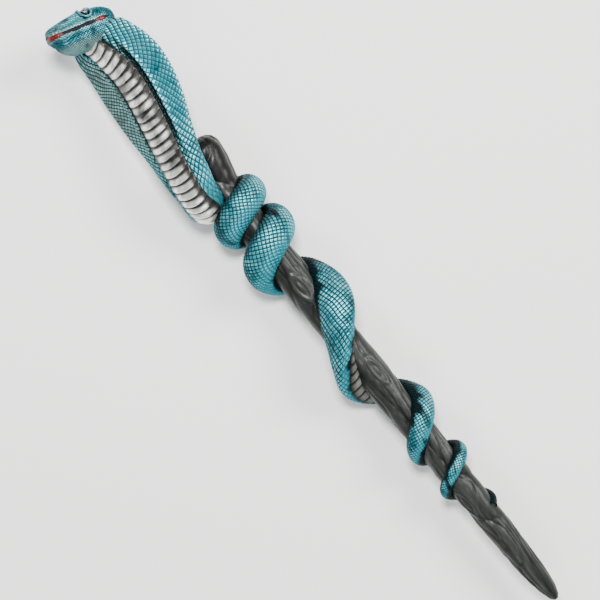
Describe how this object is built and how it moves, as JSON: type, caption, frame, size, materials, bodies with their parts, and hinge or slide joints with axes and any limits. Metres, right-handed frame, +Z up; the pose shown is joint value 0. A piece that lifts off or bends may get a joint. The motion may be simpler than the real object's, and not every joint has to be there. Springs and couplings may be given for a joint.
{
  "type": "magic wand",
  "caption": "Novelty magic wand: a knotted black stick with a metallic teal cobra wound round it, its spread hood and head rising past the butt as the handle.",
  "frame": {"origin": "centre of the bounding box in X and Y, at the height of the table the wand lies on", "axes": "+X runs along the stick from the snake's head to the tip, +Z is up with the wand lying hood and belly upwards, +Y completes a right-handed frame"},
  "size_m": [0.3682, 0.041, 0.0431],
  "materials": {
    "teal_scales": "metallic teal paint on cast resin, dark wash in the scale grooves, pale dry-brushed edges",
    "silver_belly": "silver paint on cast resin with a dark brown wash between the scutes",
    "black_stick": "satin charcoal paint on cast resin, grey-brown dry-brushed ridges",
    "red_mouth": "gloss red paint",
    "eye_bead": "clear-coated dark bead",
    "steel_rod": "plain drawn steel"
  },
  "bodies": {
    "root": {"stick": "black_stick", "core_rod": "steel_rod", "head_pin": "steel_rod", "cranium": "teal_scales", "lower_jaw": "teal_scales", "hood": "teal_scales", "coil_1": "teal_scales", "coil_2": "teal_scales", "coil_3": "teal_scales", "coil_4": "teal_scales", "coil_5": "teal_scales", "tail": "teal_scales", "belly_scutes": "silver_belly", "mouth_lining": "red_mouth", "eye_left": "eye_bead", "eye_right": "eye_bead"}
  },
  "joints": []
}
